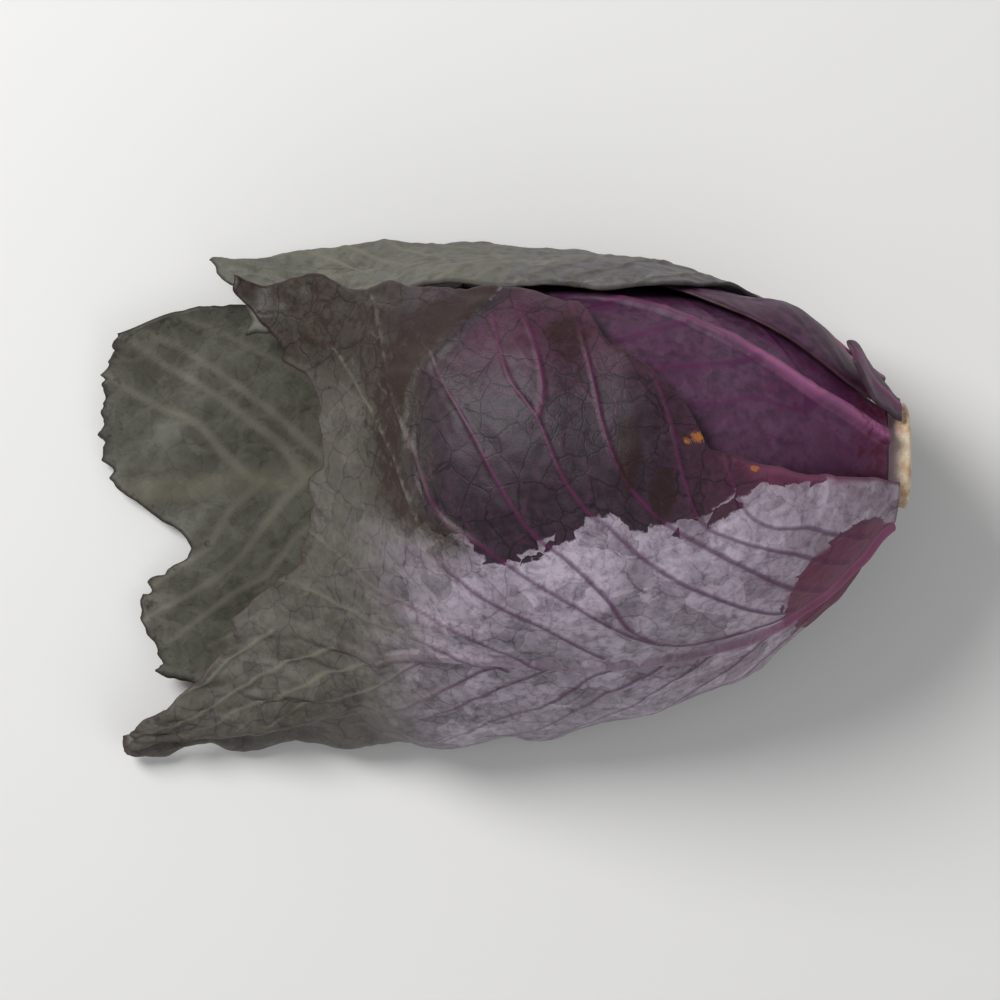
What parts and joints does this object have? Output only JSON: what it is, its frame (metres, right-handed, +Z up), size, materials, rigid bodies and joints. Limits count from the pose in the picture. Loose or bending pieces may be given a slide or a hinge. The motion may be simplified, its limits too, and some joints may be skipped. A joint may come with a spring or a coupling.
{
  "type": "red cabbage",
  "caption": "Small pointed red cabbage lying on its side: a tight purple head wrapped in loose, veined, grey-bloomed outer leaves, with a pale cut stump.",
  "frame": {"origin": "centre of the bottom of the bounding box, on the surface that the cabbage lies on", "axes": "+X along the head to its cut stump, +Y to the back of the head, +Z up; the leaf tips run to -X"},
  "size_m": [0.1536, 0.0994, 0.067],
  "materials": {
    "cut_stump": "dry cut plant tissue, tan and cream",
    "inner_leaf_skin": "smooth waxy purple leaf, satin",
    "wrapper_leaf_skin": "veined purple leaf under a grey-lilac wax bloom",
    "outer_leaf_skin": "dull grey-green outer leaf with a purple tinge"
  },
  "bodies": {
    "root": {"stump": "cut_stump", "heart": "inner_leaf_skin", "top_inner_leaf": "inner_leaf_skin", "under_inner_leaf": "inner_leaf_skin", "back_leaf": "inner_leaf_skin", "torn_stub": "inner_leaf_skin", "front_leaf": "wrapper_leaf_skin", "back_outer_leaf": "outer_leaf_skin", "ground_leaf": "outer_leaf_skin"}
  },
  "joints": []
}
